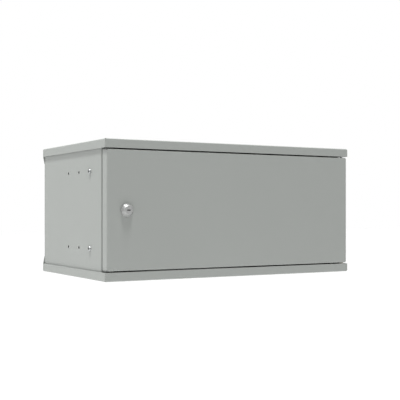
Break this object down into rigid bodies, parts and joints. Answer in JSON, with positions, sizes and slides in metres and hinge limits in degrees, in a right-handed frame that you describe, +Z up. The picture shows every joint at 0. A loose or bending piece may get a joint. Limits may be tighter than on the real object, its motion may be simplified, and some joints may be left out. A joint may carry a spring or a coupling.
{
  "type": "wall mount network cabinet",
  "caption": "Low wall mount network cabinet of folded sheet steel, with a hinged locking door and square-holed rack rails inside.",
  "frame": {"origin": "centre of the four wall fixings, on the rear plane of the cabinet", "axes": "+Y towards the wall, out of the rear plane; +X to the right as seen from the front; +Z up"},
  "size_m": [0.6006, 0.359, 0.279],
  "materials": {
    "powder_coat": "light grey fine-textured powder coat",
    "zinc_plate": "zinc-plated steel",
    "satin_chrome": "satin chromed die-cast zinc",
    "spring_steel": "spring steel",
    "nylon": "natural nylon",
    "rubber": "black rubber"
  },
  "bodies": {
    "cabinet": {"top_cover": "powder_coat", "bottom_cover": "powder_coat", "side_panel_left": "powder_coat", "side_panel_right": "powder_coat", "back_panel": "powder_coat", "back_panel_studs": "zinc_plate", "back_panel_nuts": "zinc_plate", "cover_studs": "zinc_plate", "cover_nuts": "zinc_plate", "rack_rail_left": "zinc_plate", "rack_rail_right": "zinc_plate", "rail_bolts": "zinc_plate", "rail_nuts": "zinc_plate", "entry_plate_top": "powder_coat", "entry_plate_bottom": "powder_coat", "entry_plate_studs": "zinc_plate", "entry_plate_nuts": "zinc_plate", "hinge_bracket_top": "zinc_plate", "hinge_bracket_bottom": "zinc_plate", "hinge_screws": "zinc_plate", "hinge_nuts": "zinc_plate", "hinge_pin_bottom": "zinc_plate", "hinge_washer": "nylon", "door_bumpers": "rubber", "earth_stud": "zinc_plate", "earth_nut": "zinc_plate"},
    "door": {"door_panel": "powder_coat", "pin_guide": "zinc_plate", "door_earth_stud": "zinc_plate", "door_earth_nut": "zinc_plate", "lock_housing": "satin_chrome", "lock_nut": "zinc_plate"},
    "lock_barrel": {"lock_plug": "satin_chrome", "lock_cam": "zinc_plate", "cam_screw": "zinc_plate"},
    "hinge_latch": {"hinge_pin_top": "zinc_plate", "hinge_pin_clip": "spring_steel", "hinge_spring": "spring_steel"}
  },
  "joints": [
    {"name": "door_hinge", "type": "hinge", "parent": "cabinet", "child": "door", "pos_m": [0.289, -0.341, 0], "axis": [0, 0, 1], "range_deg": [0, 180]},
    {"name": "lock_turn", "type": "hinge", "parent": "door", "child": "lock_barrel", "pos_m": [-0.254, -0.34, 0], "axis": [0, 1, 0], "range_deg": [0, 90]},
    {"name": "hinge_pin_slide", "type": "slide", "parent": "door", "child": "hinge_latch", "axis": [0, 0, -1], "range_m": [0, 0.008], "stiffness_N_per_m": 600, "springref_m": -0.012, "deforming": ["hinge_spring"]}
  ]
}
